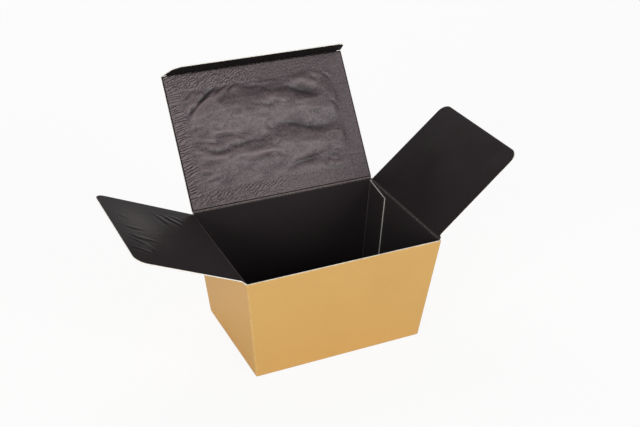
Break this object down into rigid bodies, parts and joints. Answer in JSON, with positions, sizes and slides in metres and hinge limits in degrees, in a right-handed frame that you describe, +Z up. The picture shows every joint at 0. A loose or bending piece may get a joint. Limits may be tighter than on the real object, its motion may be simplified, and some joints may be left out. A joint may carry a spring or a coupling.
{
  "type": "chocolate box",
  "caption": "Open tapered carton for chocolates, gold outside and black inside, with side dust flaps and a hinged lid that has a tuck flap and a crimped cushion pad.",
  "frame": {"origin": "middle of the base's underside", "axes": "+Z up, -Y out of the front wall, +Y towards the lid's crease, +X to the right seen from the front"},
  "size_m": [0.2084, 0.1229, 0.1338],
  "materials": {
    "board": "satin",
    "pad": "matte"
  },
  "bodies": {
    "carton": {"carton_body": "board"},
    "lid": {"lid_panel": "board", "cushion_pad": "pad"},
    "tuck": {"tuck_flap": "board"},
    "left_flap": {"left_dust_flap": "board"},
    "right_flap": {"right_dust_flap": "board"}
  },
  "joints": [
    {"name": "lid_crease", "type": "hinge", "parent": "carton", "child": "lid", "pos_m": [0, 0.03945, 0.0619], "axis": [1, 0, 0], "range_deg": [-74.8, 125.2]},
    {"name": "tuck_crease", "type": "hinge", "parent": "lid", "child": "tuck", "pos_m": [0, 0.08349, 0.12433], "axis": [1, 0, 0], "range_deg": [-90, 1]},
    {"name": "left_flap_crease", "type": "hinge", "parent": "carton", "child": "left_flap", "pos_m": [-0.05464, 0, 0.0609], "axis": [0, 1, 0], "range_deg": [-44.3, 161.7]},
    {"name": "right_flap_crease", "type": "hinge", "parent": "carton", "child": "right_flap", "pos_m": [0.05464, 0, 0.0609], "axis": [0, -1, 0], "range_deg": [-61, 147.2]}
  ]
}
